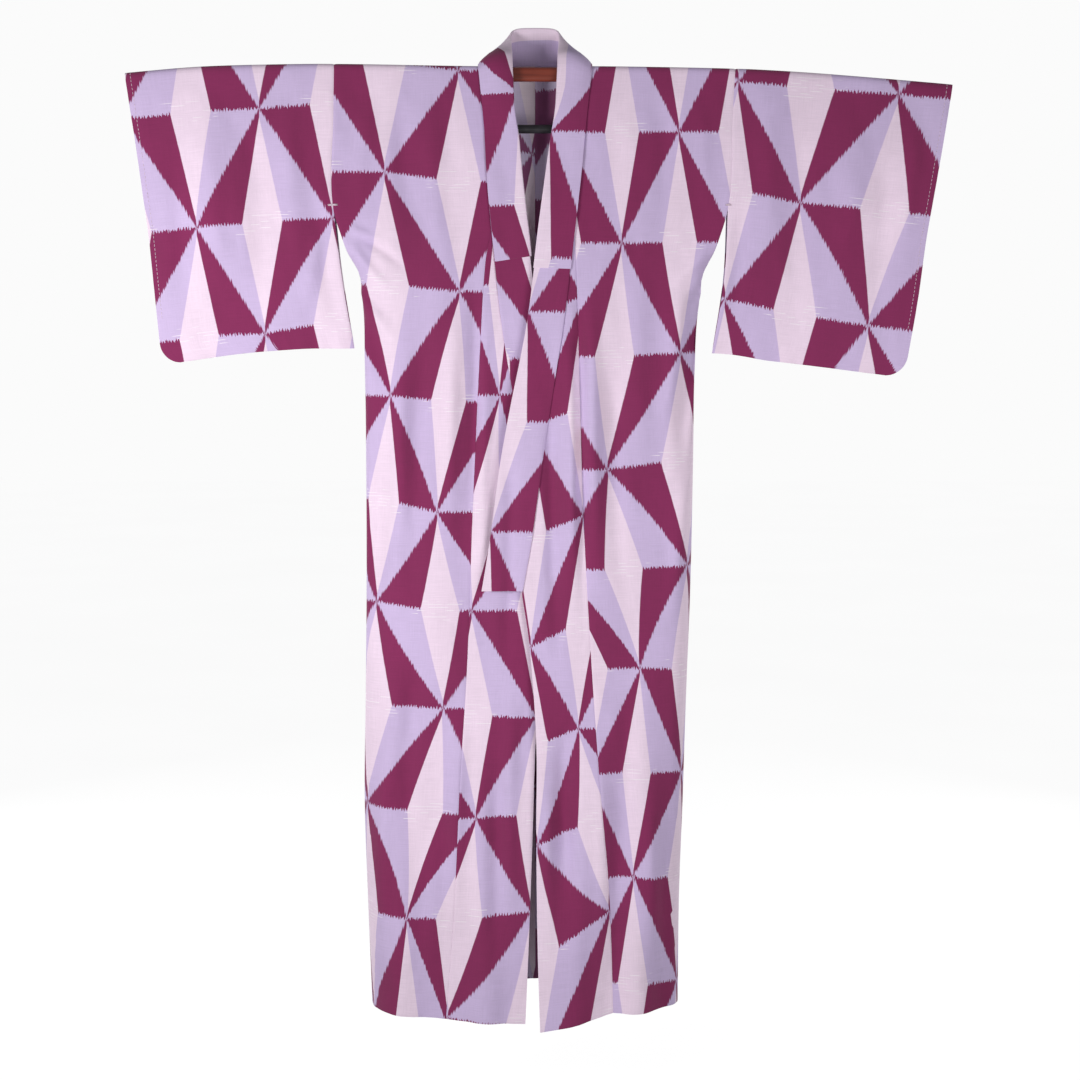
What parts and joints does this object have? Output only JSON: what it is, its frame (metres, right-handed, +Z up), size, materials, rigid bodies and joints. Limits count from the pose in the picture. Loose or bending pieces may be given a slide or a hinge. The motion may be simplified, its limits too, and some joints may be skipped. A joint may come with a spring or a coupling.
{
  "type": "cotton yukata on a two-bar kimono hanger",
  "caption": "Full-length cotton robe with wide square sleeves and a lapped front, hung open on a wooden kimono hanger with a lower sash bar",
  "frame": {"origin": "the middle of the wooden bar, where a stand or hook holds the hanger", "axes": "+Z up, the robe's front faces -Y, the wearer's left is +X"},
  "size_m": [1.3241, 0.1803, 1.6287],
  "materials": {
    "cotton": "matt plain weave, ikat dyed",
    "wood": "stained and varnished",
    "black": "satin"
  },
  "bodies": {
    "root": {"front_right": "cotton", "overlap_right": "cotton", "back_right": "cotton", "sleeve_front_right": "cotton", "sleeve_back_right": "cotton", "front_left": "cotton", "overlap_left": "cotton", "back_left": "cotton", "sleeve_front_left": "cotton", "sleeve_back_left": "cotton", "collar": "cotton", "over_collar": "cotton", "hanger_bar": "wood", "obi_bar": "black", "hanger_link_right": "black", "hanger_link_left": "black"}
  },
  "joints": []
}
